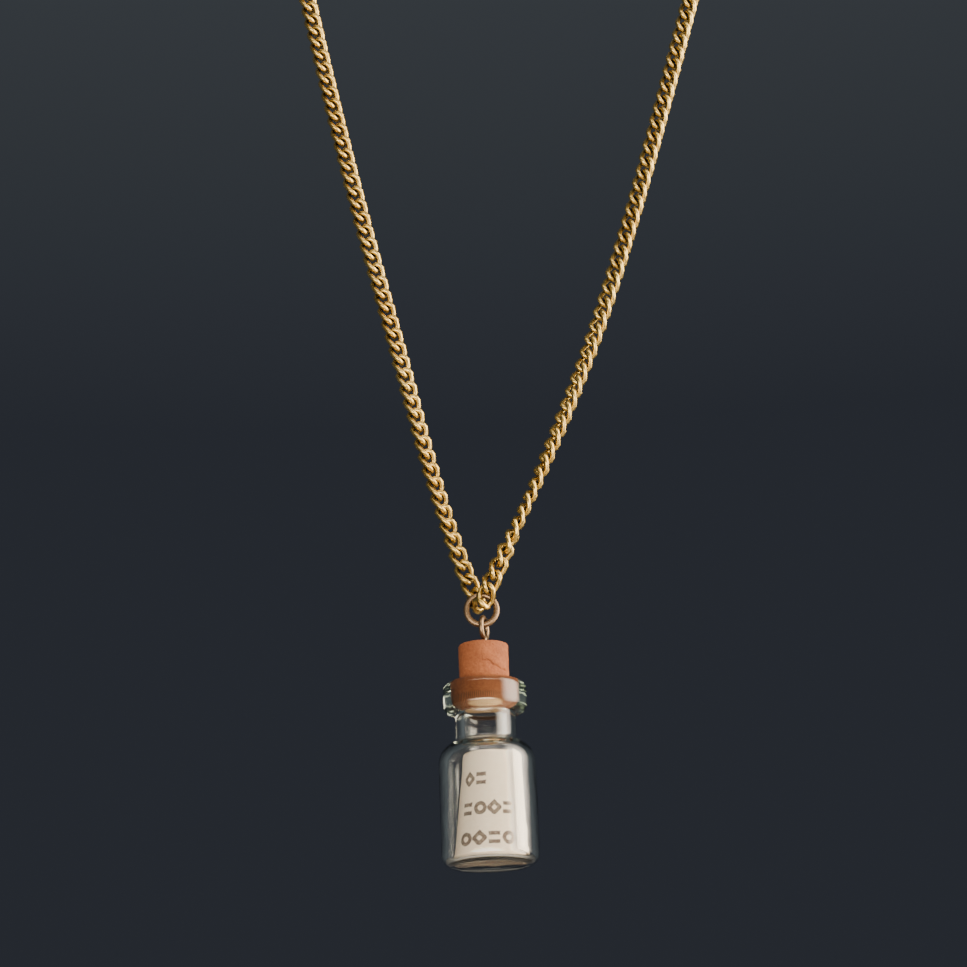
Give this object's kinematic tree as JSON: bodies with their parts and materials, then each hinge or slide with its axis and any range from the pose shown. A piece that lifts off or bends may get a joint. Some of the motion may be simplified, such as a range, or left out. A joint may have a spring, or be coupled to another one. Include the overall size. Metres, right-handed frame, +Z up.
{
  "type": "bottle pendant necklace",
  "caption": "Small corked glass bottle with a rolled paper note inside, hung by a jump ring and a screw eye on a fine chain necklace with a clasp.",
  "frame": {"origin": "middle of the clasp at the back of the neck, where the necklace is held up", "axes": "+Z up, -Y to the front where the bottle hangs, +X to the right as seen from the front"},
  "size_m": [0.0894, 0.0782, 0.2191],
  "materials": {
    "chain": "polished gold plate",
    "clasp": "polished gold plate",
    "findings": "antique brass, satin",
    "cork": "natural cork, matte",
    "glass": "clear, faintly green, polished",
    "paper": "cream, matte"
  },
  "bodies": {
    "necklace": {"chain": "chain", "clasp": "clasp"},
    "ring": {"jump_ring": "findings"},
    "pendant": {"screw_eye": "findings", "cork": "cork", "bottle": "glass", "note": "paper"}
  },
  "joints": [
    {"name": "ring_sway", "type": "hinge", "parent": "necklace", "child": "ring", "pos_m": [-0.01, -0.072, -0.18658], "axis": [0, 1, 0], "range_deg": [-45, 45]},
    {"name": "pendant_swing", "type": "hinge", "parent": "ring", "child": "pendant", "pos_m": [-0.01, -0.072, -0.18833], "axis": [1, 0, 0], "range_deg": [-60, 60]}
  ]
}
